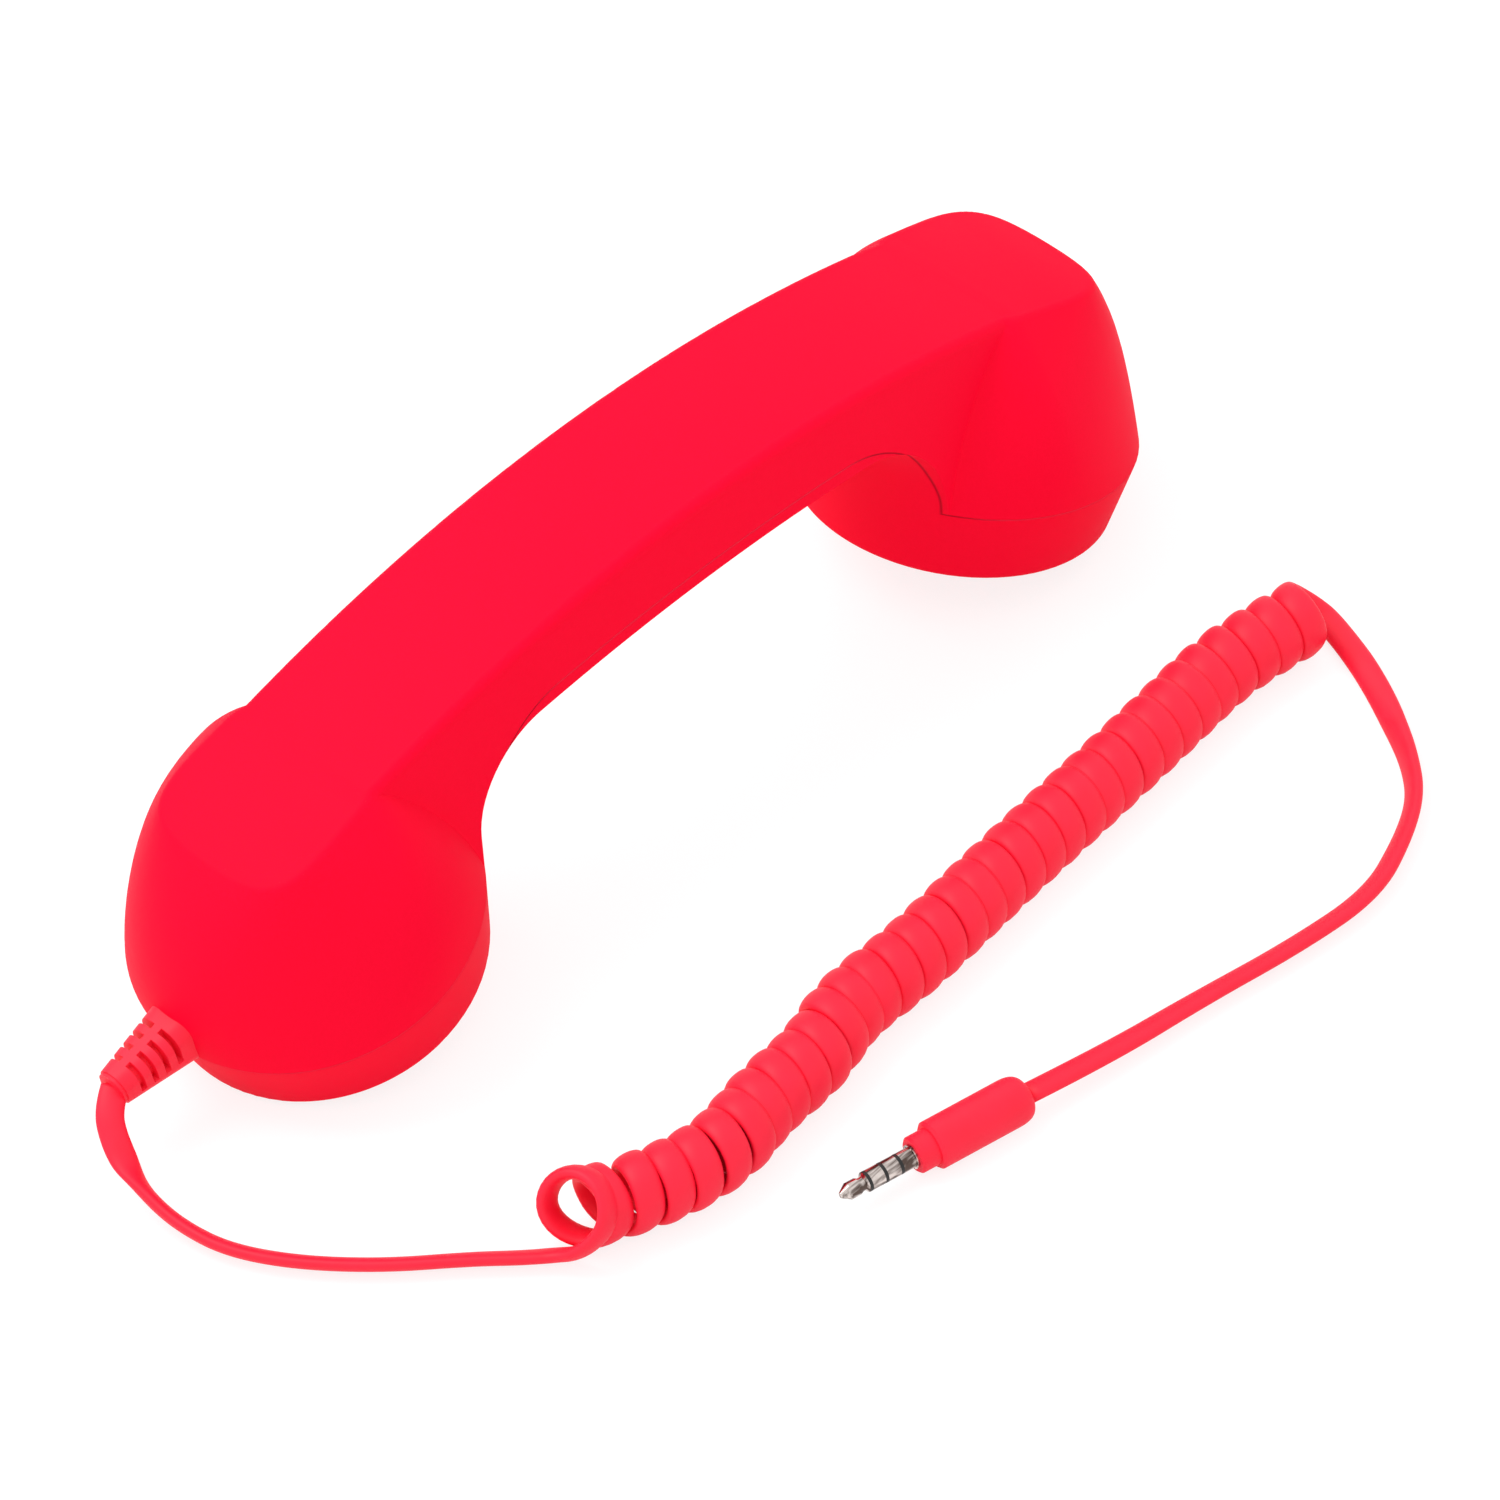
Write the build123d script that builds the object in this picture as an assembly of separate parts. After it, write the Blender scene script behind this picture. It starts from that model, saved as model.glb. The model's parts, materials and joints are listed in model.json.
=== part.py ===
from build123d import *
import os
from math import asin, atan, cos, degrees, pi, radians, sin, sqrt, tan

# A telephone handset lying on its two cups, with the arched handle up, and its curly cord with a plug.
# Millimetres. +X runs from the mouthpiece to the earpiece, -Y to the side where the cord lies, and the
# ground is Z = 0. Each cup has a frame of its own: s outward, y across, w up from the seam plane, which
# leans outward by CUP_TILT.

# Handle
HANDLE_TOP_Z = 65.4       # top of the arch
TOP_R = 262.0             # radius of the top's arch
UNDER_R = 333.0           # radius of the underside's arch
HANDLE_DEPTH = 15.0       # from the underside to the top in the middle
TOP_HALF_WIDTH = 14.9     # half the width at the top face
SIDE_SLOPE = 0.1125       # how much each side leans out per millimetre down
EDGE_R = 1.8              # rounding round the top face
WALL = 2.0                # wall of both shells
SIDE_WALL = 2.5           # wall of the handle's sides

# Cups
CUP_X = 77.0              # middle of a cup at the seam plane
CUP_R = 30.0              # radius at the seam plane
CUP_TILT = 15.0           # lean of the cup's axis
RING_DEPTH = 14.3         # from the seam plane down to the face
RING_SLOPE = 0.20         # how much the ring narrows per millimetre down
RIM_R = 2.0               # rounding round the face
NECK_R = 15.0             # hollow between the underside and the cup's neck
DOME_MID_W = 17.0         # height of the dome's middle section
DOME_TOP_DROP = 10.9      # from the height of the arch down to the dome's top section, along the cup
MID_CENTRE = -6.5         # the middle section: its centre and its reach outward, inward and across
MID_OUT = 32.0
MID_IN = 19.5
MID_HALF = 26.4
TOP_CENTRE = -9.1         # the top section likewise
EAR_OUT = 18.4
MOUTH_OUT = 15.4
TOP_IN = 6.8
TOP_HALF = 13.0

# Seam between the shells
SEAM_X = 53.4             # where it runs down the neck's sides
SEAM_R = 20.0             # its bend below the handle
SEAM_RISE = 0.35          # above the lower shell's floor, along the handle
SEAM_GAP = 0.05           # between a pillar and its boss

# Face caps
CAP_BORDER = 2.95         # from the edge of the face to the cap's bore
CAP_T = 2.1
CAP_RECESS = 0.3          # how far the cap lies inside the face
CAP_FIT = 0.1             # gap round the cap
CAP_DISH = 0.7            # depth of its dished middle
CAP_RIM = 4.2             # flat rim outside the dish
CAP_EDGE = 0.4
SPIGOT_H = 1.3            # collar behind the cap that seats in the opening
SPIGOT_T = 1.0
SPIGOT_FIT = 0.15
LEDGE_T = 2.0             # inner floor that carries the parts of a cup
EAR_HOLE_R = 1.0
EAR_ROWS = ((0, 0.0), (6, 4.4), (12, 8.8))
EAR_OPEN_R = 14.0
MOUTH_HOLE_R = 0.65
MOUTH_ROWS = ((0, 0.0), (6, 2.4))
MOUTH_OPEN_R = 5.0
CLOTH_T = 0.4
CLOTH_FIT = 0.15

# Screws: head radius, head height, shank radius
CASE_SCREW = (2.4, 1.7, 1.2)
SMALL_SCREW = (1.5, 1.0, 0.75)
SCREW_FIT = 0.05
CASE_SCREW_IN = 9.7       # from the cup's outside at the seam plane to a screw
CASE_SCREW_BITE = 7.0     # thread's reach above the seam plane
PILLAR_R = 3.8
PILLAR_TOP_W = -1.0
PILLAR_SINK = 3.0         # depth of the recess for the head
BOSS_R = 3.2

# Speaker in the ear cup, from the ledge up
SPK_R = 16.0
GASKET_T = 0.8
FLANGE_T = 1.2
FLANGE_IN_R = 14.2
FLAT_IN_R = 15.0          # inner edge of the flange's flat
CONE_TOP_R = 9.9
CONE_H = 5.2
CONE_PLATE_T = 1.0
CONE_WALL = 0.9
BASKET_WINDOWS = 6
YOKE_R = 8.5
YOKE_LIP = 1.1
YOKE_DROP = 3.6
YOKE_PLATE_T = 1.2
YOKE_WALL = 1.1
MAGNET_R = 6.3
MAGNET_T = 2.2
POLE_T = 0.9
COIL_IN_R = 6.6
COIL_OUT_R = 7.1
COIL_H = 2.6
DIAPHRAGM_T = 0.3
CLAMP_IN_R = 15.1
CLAMP_OUT_R = 16.3
CLAMP_T = 1.2
CLAMP_EAR_S = 18.6
CLAMP_EAR_R = 2.5
SPK_FIT = 0.1

# Microphone in the mouth cup
BOOT_R = 6.5
BOOT_H = 7.0
BOOT_FLOOR = 1.2
BOOT_HOLE_R = 3.4
CAPSULE_R = 4.85
CAPSULE_H = 5.0
COLLAR_T = 1.5
COLLAR_H = 4.5
MIC_FIT = 0.1

# Call button on the underside
BUTTON_X = 27.0
BUTTON_R = 5.5
BUTTON_OUT = 1.0          # how far it stands out
BUTTON_FIT = 0.25
BUTTON_STOP = 0.3         # rest gap between its flange and the wall
BUTTON_FLANGE_R = 6.8
BUTTON_FLANGE_T = 1.0
STEM_R = 2.2
STEM_H = 1.0
TRAVEL = 0.5
PLUNGER_R = 1.5
PLUNGER_L = 2.0
PLUNGER_FIT = 0.05
SWITCH_SIZE = 6.0
SWITCH_H = 3.4
SWITCH_FIT = 0.2          # between the stem's end and the switch when pressed
SWITCH_BORE = 2.1
BOARD_L = 27.0
BOARD_W = 13.0
BOARD_T = 1.0
POST_X = 10.5
POST_R = 2.2

# Strain relief at the mouth cup's outer end
GLAND_W = 3.1             # height of its middle above the seam plane
GLAND_IN = 0.5            # from the cup's outside at the seam plane to its middle
GLAND_DIP = 9.0           # degrees below level
GLAND_L = 14.0
GLAND_BASE = 10.0
GLAND_END = 6.3
GLAND_NECK = 8.0
GLAND_FIT = 0.1
GLAND_FLANGE = 11.0
GLAND_FLANGE_T = 1.5
GLAND_FLANGE_GAP = 1.0
SLOT_ROWS = 4
SLOT_START = 2.5
SLOT_PITCH = 2.45
SLOT_WIDTH = 1.05
SPINE = 1.5               # rib left along the top
SLOT_LOW = -1.2           # lower end of the slots, below the middle
SLOT_CORE_R = 2.5

# Wires inside the handle
WIRE_R = 0.8
WIRE_GAP = 0.4            # between a wire's end and the board
WIRE_Y = 3.0              # how far the leads run from the middle
WIRE_DROP = 5.5           # below the handle's inner top
WIRE_RISE = 12.0          # straight up from the microphone
WIRE_BEND = 2.5

# Cord
CORD_D = 4.5
COIL_D = 12.8
CORD_Z = CORD_D / 2
COIL_Z = COIL_D / 2
LEAD_ROUTE = [
    (-119.6, 0.0, 13.7),
    (-123.2, -1.2, 12.2),
    (-125.6, -4.2, 9.4),
    (-127.0, -8.8, 6.2),
    (-127.5, -14.6, 3.9),
    (-127.0, -21.8, 2.6),
    (-124.8, -30.6, CORD_Z),
    (-119.4, -40.6, CORD_Z),
    (-110.8, -51.0, CORD_Z),
    (-100.2, -60.6, CORD_Z),
    (-87.2, -67.2, 3.8),
]
COIL_ROUTE = [
    (-87.6, -67.0, COIL_Z),
    (-60.0, -70.6, COIL_Z),
    (-33.0, -71.6, COIL_Z),
    (-5.0, -69.2, COIL_Z),
    (24.0, -66.6, COIL_Z),
    (52.0, -64.4, COIL_Z),
    (90.3, -62.2, COIL_Z),
]
TAIL_ROUTE = [
    (90.6, -61.8, 10.6),
    (92.4, -68.2, 7.9),
    (92.0, -76.0, 4.6),
    (88.0, -84.6, 2.6),
    (80.2, -97.4, CORD_Z),
    (69.2, -107.4, CORD_Z),
    (53.8, -112.6, CORD_Z),
    (36.5, -111.0, CORD_Z),
    (17.6, -107.4, CORD_Z),
    (-1.4, -105.0, 2.9),
    (-17.7, -102.1, 4.15),
]

# Plug, along its axis from the rear of its grip
PLUG_R = 4.15
PLUG_L = 18.5
PLUG_REAR_R = 2.7
PLUG_SHOULDER = 3.4
PLUG_COLLAR_R = 3.2
PLUG_COLLAR_L = 3.4
PLUG_DIR = (-0.981, 0.194, 0)
PIN_R = 1.75
PIN_L = 14.0
PIN_BREAKS = (11.0, 8.0, 5.0)   # middles of the insulators, from the tip
INSULATOR_T = 0.6
INSULATOR_CORE_R = 1.1
PIN_CORE_R = 0.5
PIN_ROOT = 4.0            # how far the sleeve runs into the grip
PIN_ROOT_R = 1.45
SLEEVE_LIP_R = 2.1
SLEEVE_LIP_T = 0.4
PIN_FIT = 0.03
TIP_WAIST_R = 1.2
TIP_R = 1.46
TIP_END_R = 0.5

ct, st = cos(radians(CUP_TILT)), sin(radians(CUP_TILT))
under_z = HANDLE_TOP_Z - HANDLE_DEPTH - UNDER_R
face_r = CUP_R - RING_SLOPE * RING_DEPTH
rim_centre_r = face_r - RIM_R * tan(radians(90 - degrees(atan(RING_SLOPE))) / 2)
cup_z = (RING_DEPTH - RIM_R) * ct + rim_centre_r * st + RIM_R
ledge_bottom = -(RING_DEPTH - CAP_RECESS - CAP_T)
ledge_top = ledge_bottom + LEDGE_T
dome_top_w = HANDLE_TOP_Z - cup_z - DOME_TOP_DROP
cap_r = face_r - CAP_BORDER
case_screw_y = CUP_R - CASE_SCREW_IN
gland_s = CUP_R - GLAND_IN
MOST = 400.0              # larger than the handset

ear = Location(Plane(origin=(CUP_X, 0, cup_z), x_dir=(ct, 0, -st), z_dir=(st, 0, ct)))
mouth = Rot(0, 0, 180) * ear
nodes = {}


def disc(radius, low, high):
    """An upright cylinder between two heights."""
    return Pos(0, 0, low) * Cylinder(radius, high - low, align=(Align.CENTER, Align.CENTER, Align.MIN))


def tube(outer, inner, low, high):
    return disc(outer, low, high) - disc(inner, low - 1, high + 1)


def block(length, width, low, high):
    return Pos(0, 0, low) * Box(length, width, high - low, align=(Align.CENTER, Align.CENTER, Align.MIN))


def turned(points):
    """A solid turned about the local Z axis from (radius, height) points."""
    return revolve(Plane.XZ * make_face(Polyline(*points, close=True)), Axis.Z)


def screw(kind, seat, bite):
    """A screw with its head below the seat and its shank up to bite."""
    head_r, head_h, shank_r = kind
    head = disc(head_r, seat - head_h, seat)
    slot = block(head_r * 1.3, head_h * 0.35, seat - head_h - 1, seat - head_h * 0.5)
    return head - slot - Rot(0, 0, 90) * slot + disc(shank_r, seat, bite)


# Form of the handset. Every function takes how far it lies inside the outer surface, so that the same
# form gives the outside and the hollow.
def under_arch(inset):
    return Pos(0, 0, under_z) * Rot(90, 0, 0) * Cylinder(UNDER_R + inset, MOST)


def top_arch(inset):
    return Pos(0, 0, HANDLE_TOP_Z - TOP_R) * Rot(90, 0, 0) * Cylinder(TOP_R - inset, MOST)


def band(inset, side_inset, edge_r):
    """The drafted sides, turned about the axis of the top's arch."""
    deep = HANDLE_TOP_Z
    top_r = TOP_R - inset
    half = TOP_HALF_WIDTH + SIDE_SLOPE * inset - side_inset * sqrt(1 + SIDE_SLOPE ** 2)
    low = half + SIDE_SLOPE * deep
    if edge_r:
        cut = edge_r * tan((pi / 2 - atan(SIDE_SLOPE)) / 2)
        side_y, side_z = half + cut * sin(atan(SIDE_SLOPE)), top_r - cut * cos(atan(SIDE_SLOPE))
        pull = 0.55
        rounding = [
            Bezier(
                (s * (half - cut), top_r), (s * (half - cut + pull * cut), top_r),
                (s * (side_y + pull * (half - side_y)), side_z + pull * (top_r - side_z)), (s * side_y, side_z))
            for s in (-1, 1)
        ]
        face = make_face([
            Line((cut - half, top_r), (half - cut, top_r)), rounding[1],
            Polyline((side_y, side_z), (low, top_r - deep), (-low, top_r - deep), (-side_y, side_z)), rounding[0],
        ])
    else:
        face = make_face(
            Polyline((-half, top_r), (half, top_r), (low, top_r - deep), (-low, top_r - deep), close=True))
    reach = degrees(asin(CUP_X / TOP_R))
    axis = Axis((0, 0, HANDLE_TOP_Z - TOP_R), (0, 1, 0))
    return revolve(Plane.YZ * Pos(0, HANDLE_TOP_Z - TOP_R) * face, axis, 2 * reach).rotate(axis, -reach)


def handle(inset, side_inset, edge_r):
    """The handle with the two necks below its ends, hollowed between them by NECK_R."""
    sides = band(inset, side_inset, edge_r)
    body = sides - under_arch(inset)
    for side, loc in ((1, ear), (-1, mouth)):
        outline = Pos(side * CUP_X, 0, 0) * Ellipse(CUP_R * ct - inset, CUP_R - inset)
        below_seam = loc * block(MOST, MOST, -MOST, 0)
        body += (extrude(outline, HANDLE_TOP_Z) - below_seam) & sides
    under_top = under_z + UNDER_R
    hollow = [
        e for e in body.edges()
        if abs(e.center().Y) < 1 and CUP_X - CUP_R - 5 < abs(e.center().X) < CUP_X - CUP_R / 2
        and under_top - 9 < e.center().Z < under_top
    ]
    return fillet(hollow, NECK_R + inset)


def section(w, centre, outer, inner, half, pull_out, pull_in, pull_end):
    """One section of a dome: four curves through its outer, side and inner points."""
    round_pull = 0.5523
    p = [(centre + outer, 0), (centre, half), (centre - inner, 0), (centre, -half)]
    out_x, in_x = centre + pull_out * outer, centre - pull_in * inner
    return Pos(0, 0, w) * make_face([
        Bezier(p[0], (p[0][0], pull_end * half), (out_x, half), p[1]),
        Bezier(p[1], (in_x, half), (p[2][0], round_pull * half), p[2]),
        Bezier(p[2], (p[2][0], -round_pull * half), (in_x, -half), p[3]),
        Bezier(p[3], (out_x, -half), (p[0][0], -pull_end * half), p[0]),
    ])


def dome(outer_top, inset):
    base = make_face([CenterArc((0, 0), CUP_R - inset, 90 * q, 90) for q in range(4)])
    middle = section(DOME_MID_W, MID_CENTRE, MID_OUT - inset, MID_IN - inset, MID_HALF - inset, 0.5, 0.4, 0.52)
    top = section(dome_top_w, TOP_CENTRE, outer_top - inset, TOP_IN - inset, TOP_HALF - inset, 1.25, 1.2, 1.25)
    return loft([base, middle, top])


def ring(inset, low):
    """The cup below the seam plane."""
    return turned([(0, 0), (CUP_R - inset, 0), (CUP_R - inset + RING_SLOPE * low, low), (0, low)])


def form(inset, side_inset, low, edge_r=0):
    """The whole form. The handle's top edges and those of the domes are rounded before they are joined."""
    body = handle(inset, side_inset, edge_r)
    for loc, outer_top in ((ear, EAR_OUT), (mouth, MOUTH_OUT)):
        top = loc * dome(outer_top, inset) & top_arch(inset)
        if edge_r:
            top = fillet(top.faces().filter_by(GeomType.CYLINDER).edges(), edge_r)
        body += top
        body += loc * ring(inset, low)
    return body


def outside():
    body = form(0, 0, -RING_DEPTH, EDGE_R)
    rims = [e for e in body.edges() if e.geom_type == GeomType.CIRCLE and abs(e.radius - face_r) < 0.01]
    return fillet(rims, RIM_R)


def above_seam():
    """Everything on the upper shell's side of the seam."""
    arch_r = UNDER_R + WALL + SEAM_RISE
    arch = sqrt(arch_r ** 2 - SEAM_X ** 2) + under_z
    neck = cup_z + (CUP_X - SEAM_X) * tan(radians(CUP_TILT))
    far = cup_z - (MOST - CUP_X) * tan(radians(CUP_TILT))
    outline = [
        ThreePointArc((-SEAM_X, arch), (0, arch_r + under_z), (SEAM_X, arch)),
        Polyline(
            (SEAM_X, arch), (SEAM_X, neck), (MOST, far), (MOST, MOST),
            (-MOST, MOST), (-MOST, far), (-SEAM_X, neck), (-SEAM_X, arch),
        ),
    ]
    face = make_face(outline)
    bends = [v for v in face.vertices() if abs(abs(v.X) - SEAM_X) < 0.01 and abs(v.Y - arch) < 0.01]
    return extrude(Plane.XZ * fillet(bends, SEAM_R), MOST / 2, both=True)


# Places of the button and of the strain relief
button_turn = asin(BUTTON_X / UNDER_R)
button_place = Location(Plane(
    origin=(BUTTON_X, 0, under_z + UNDER_R * cos(button_turn)),
    x_dir=(cos(button_turn), 0, -sin(button_turn)),
    z_dir=(sin(button_turn), 0, cos(button_turn)),
))
dip = radians(GLAND_DIP)
gland_place = Location(Plane(
    origin=(-CUP_X - gland_s * ct - GLAND_W * st, 0, cup_z - gland_s * st + GLAND_W * ct),
    x_dir=(0, -1, 0),
    z_dir=(-cos(dip), 0, -sin(dip)),
))

# Heights in the button's stack, inward from the handle's underside
flange_low = WALL + BUTTON_STOP
flange_high = flange_low + BUTTON_FLANGE_T
stem_top = flange_high + STEM_H
switch_low = stem_top + TRAVEL + SWITCH_FIT
switch_high = switch_low + SWITCH_H
board_top = switch_high + BOARD_T


def rounded_bar(size, corner, low, high):
    return extrude(Pos(0, 0, low) * RectangleRounded(size, size, corner), high - low)


# Shells
whole = outside()
hollow = form(WALL, SIDE_WALL, ledge_top)
walls = whole - hollow
upper_side = above_seam()


def pillar_places():
    return [loc * Pos(0, side * case_screw_y, 0) for loc in (ear, mouth) for side in (-1, 1)]


def make_upper():
    shell = walls & upper_side
    for place in pillar_places():
        boss = place * disc(BOSS_R, PILLAR_TOP_W + SEAM_GAP, dome_top_w)
        boss -= place * disc(CASE_SCREW[2] + SCREW_FIT, PILLAR_TOP_W - 1, CASE_SCREW_BITE + 1)
        shell += boss & hollow
    return shell - gland_place * rounded_bar(GLAND_NECK + 2 * GLAND_FIT, 2, -3 * WALL, GLAND_L)


def make_lower():
    shell = walls - upper_side
    for place in pillar_places():
        shell += place * disc(PILLAR_R, ledge_top, PILLAR_TOP_W) & hollow
        shell -= place * disc(CASE_SCREW[2] + SCREW_FIT, -RING_DEPTH, 0)
        shell -= place * disc(CASE_SCREW[0] + SCREW_FIT, -RING_DEPTH, ledge_bottom + PILLAR_SINK)
    for loc, opening in ((ear, EAR_OPEN_R), (mouth, MOUTH_OPEN_R)):
        shell -= loc * disc(cap_r + CAP_FIT, -RING_DEPTH - 1, ledge_bottom)
        shell -= loc * disc(opening, -RING_DEPTH - 1, 0)
    for side in (-1, 1):
        post = disc(CLAMP_EAR_R, ledge_top, ledge_top + GASKET_T + FLANGE_T)
        shell += ear * Pos(side * CLAMP_EAR_S, 0, 0) * post
        shell -= ear * Pos(side * CLAMP_EAR_S, 0, 0) * disc(SMALL_SCREW[2] + SCREW_FIT, ledge_bottom + 0.5, 0)
        shell += button_place * Pos(side * POST_X, 0, 0) * disc(POST_R, WALL / 2, switch_high)
        shell -= button_place * Pos(side * POST_X, 0, 0) * disc(SMALL_SCREW[2] + SCREW_FIT, WALL, board_top)
    collar_in = BOOT_R + MIC_FIT
    shell += mouth * tube(collar_in + COLLAR_T, collar_in, ledge_top, ledge_top + COLLAR_H)
    shell -= button_place * disc(BUTTON_R + BUTTON_FIT, -WALL, WALL + 0.5)
    return shell - gland_place * rounded_bar(GLAND_NECK + 2 * GLAND_FIT, 2, -3 * WALL, GLAND_L)


nodes["upper_shell"] = make_upper()
nodes["lower_shell"] = make_lower()


# Face caps and the cloths behind them
def holes(rows, radius):
    """A ring of through holes for each (count, pitch radius)."""
    cutter = []
    for count, pitch_r in rows:
        for place in (PolarLocations(pitch_r, count) if count else [Location()]):
            cutter.append(place * disc(radius, -2 * RING_DEPTH, 0))
    return cutter


def cap(opening, rows, hole_r):
    face = ledge_bottom - CAP_T
    flat = cap_r - CAP_EDGE
    dish_r = cap_r - CAP_RIM
    body = make_face([
        Polyline((0, ledge_bottom), (cap_r, ledge_bottom), (cap_r, face + CAP_EDGE), (flat, face), (dish_r, face)),
        ThreePointArc((dish_r, face), (dish_r / 2, face + 0.75 * CAP_DISH), (0, face + CAP_DISH)),
        Line((0, face + CAP_DISH), (0, ledge_bottom)),
    ])
    outer = opening - SPIGOT_FIT
    solid = revolve(Plane.XZ * body, Axis.Z) + tube(outer, outer - SPIGOT_T, ledge_bottom, ledge_bottom + SPIGOT_H)
    return solid - holes(rows, hole_r)


def cloth(opening):
    return disc(opening - SPIGOT_FIT - SPIGOT_T - CLOTH_FIT, ledge_bottom, ledge_bottom + CLOTH_T)


nodes["ear_grille"] = ear * cap(EAR_OPEN_R, EAR_ROWS, EAR_HOLE_R)
nodes["mouth_grille"] = mouth * cap(MOUTH_OPEN_R, MOUTH_ROWS, MOUTH_HOLE_R)
nodes["ear_cloth"] = ear * cloth(EAR_OPEN_R)
nodes["mouth_cloth"] = mouth * cloth(MOUTH_OPEN_R)

# Screws that hold the shells together
nodes["case_screws"] = Compound(children=[
    place * screw(CASE_SCREW, ledge_bottom + PILLAR_SINK, CASE_SCREW_BITE) for place in pillar_places()
])

# Speaker
flange_z = ledge_top + GASKET_T
flange_top = flange_z + FLANGE_T
plate_z = flange_z + CONE_H
plate_top = plate_z + CONE_PLATE_T
yoke_low = plate_top - YOKE_DROP


def basket():
    body = turned([
        (FLANGE_IN_R, flange_z), (SPK_R, flange_z), (SPK_R, flange_top), (FLAT_IN_R, flange_top),
        (CONE_TOP_R, plate_z), (CONE_TOP_R, plate_top), (YOKE_R + SPK_FIT, plate_top),
        (YOKE_R + SPK_FIT, plate_z - CONE_WALL / 2), (FLANGE_IN_R, flange_top - CONE_WALL / 2),
    ])
    window = Pos((CONE_TOP_R + FLAT_IN_R) / 2, 0, flange_top + 1) * Box(2.4, 4, 9)
    return body - [place * window for place in PolarLocations(0, BASKET_WINDOWS)]


def yoke():
    under_plate = plate_top + SPK_FIT
    return turned([
        (0, under_plate), (YOKE_R - YOKE_WALL, under_plate), (YOKE_R - YOKE_WALL, yoke_low), (YOKE_R, yoke_low),
        (YOKE_R, plate_top), (YOKE_R + YOKE_LIP, plate_top), (YOKE_R + YOKE_LIP, under_plate + YOKE_PLATE_T),
        (0, under_plate + YOKE_PLATE_T),
    ])


def clamp():
    body = tube(CLAMP_OUT_R, CLAMP_IN_R, flange_top, flange_top + CLAMP_T)
    for side in (-1, 1):
        place = Pos(side * CLAMP_EAR_S, 0, 0)
        body += place * disc(CLAMP_EAR_R, flange_top, flange_top + CLAMP_T) - disc(CLAMP_IN_R, flange_z, flange_top + 2)
        body -= place * disc(SMALL_SCREW[2] + SCREW_FIT, flange_z, flange_top + 2)
    return body


magnet_top = plate_top + SPK_FIT
pole_low = magnet_top - MAGNET_T - POLE_T
cone_top = pole_low - 0.6
nodes["speaker_gasket"] = ear * tube(SPK_R, FLANGE_IN_R, ledge_top, flange_z)
nodes["speaker_frame"] = ear * basket()
nodes["speaker_yoke"] = ear * yoke()
nodes["speaker_magnet"] = ear * disc(MAGNET_R, magnet_top - MAGNET_T, magnet_top)
nodes["speaker_pole_plate"] = ear * disc(MAGNET_R, pole_low, magnet_top - MAGNET_T)
nodes["speaker_voice_coil"] = ear * tube(COIL_OUT_R, COIL_IN_R, cone_top, cone_top + COIL_H)
nodes["speaker_diaphragm"] = ear * turned([
    (0, cone_top - DIAPHRAGM_T), (COIL_OUT_R, cone_top - DIAPHRAGM_T), (FLANGE_IN_R - SPK_FIT, flange_z),
    (FLANGE_IN_R - SPK_FIT, flange_z + DIAPHRAGM_T), (COIL_OUT_R, cone_top), (0, cone_top),
])
nodes["speaker_clamp"] = ear * clamp()
nodes["speaker_screws"] = Compound(children=[
    ear * Pos(side * CLAMP_EAR_S, 0, 2 * (flange_top + CLAMP_T)) * Rot(180, 0, 0)
    * Pos(0, 0, flange_top + CLAMP_T) * screw(SMALL_SCREW, 0, CLAMP_T + FLANGE_T + GASKET_T + 1)
    for side in (-1, 1)
])

# Microphone
boot_bore = CAPSULE_R + MIC_FIT
boot_floor = ledge_top + BOOT_FLOOR
nodes["mic_boot"] = mouth * (
    disc(BOOT_R, ledge_top, ledge_top + BOOT_H)
    - disc(boot_bore, boot_floor, ledge_top + BOOT_H + 1)
    - disc(BOOT_HOLE_R, ledge_top - 1, boot_floor + 1)
)
nodes["mic_capsule"] = mouth * disc(CAPSULE_R, boot_floor, boot_floor + CAPSULE_H)

# Call button with its switch
nodes["answer_button"] = button_place * (
    chamfer(disc(BUTTON_R, -BUTTON_OUT, flange_low).edges().group_by(Axis.Z)[0], 0.4)
    + disc(BUTTON_FLANGE_R, flange_low, flange_high)
    + disc(STEM_R, flange_high, stem_top)
)
nodes["switch_plunger"] = button_place * disc(PLUNGER_R, stem_top, stem_top + PLUNGER_L)
nodes["switch_body"] = button_place * (
    block(SWITCH_SIZE, SWITCH_SIZE, switch_low, switch_high)
    - disc(PLUNGER_R + PLUNGER_FIT, switch_low - 1, switch_low + SWITCH_BORE)
)
board = block(BOARD_L, BOARD_W, switch_high, board_top)
for side in (-1, 1):
    board -= Pos(side * POST_X, 0, 0) * disc(SMALL_SCREW[2] + SCREW_FIT, switch_high - 1, board_top + 1)
nodes["button_board"] = button_place * board
nodes["board_screws"] = Compound(children=[
    button_place * Pos(side * POST_X, 0, board_top) * Rot(180, 0, 0) * screw(SMALL_SCREW, 0, BOARD_T + 4)
    for side in (-1, 1)
])


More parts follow.
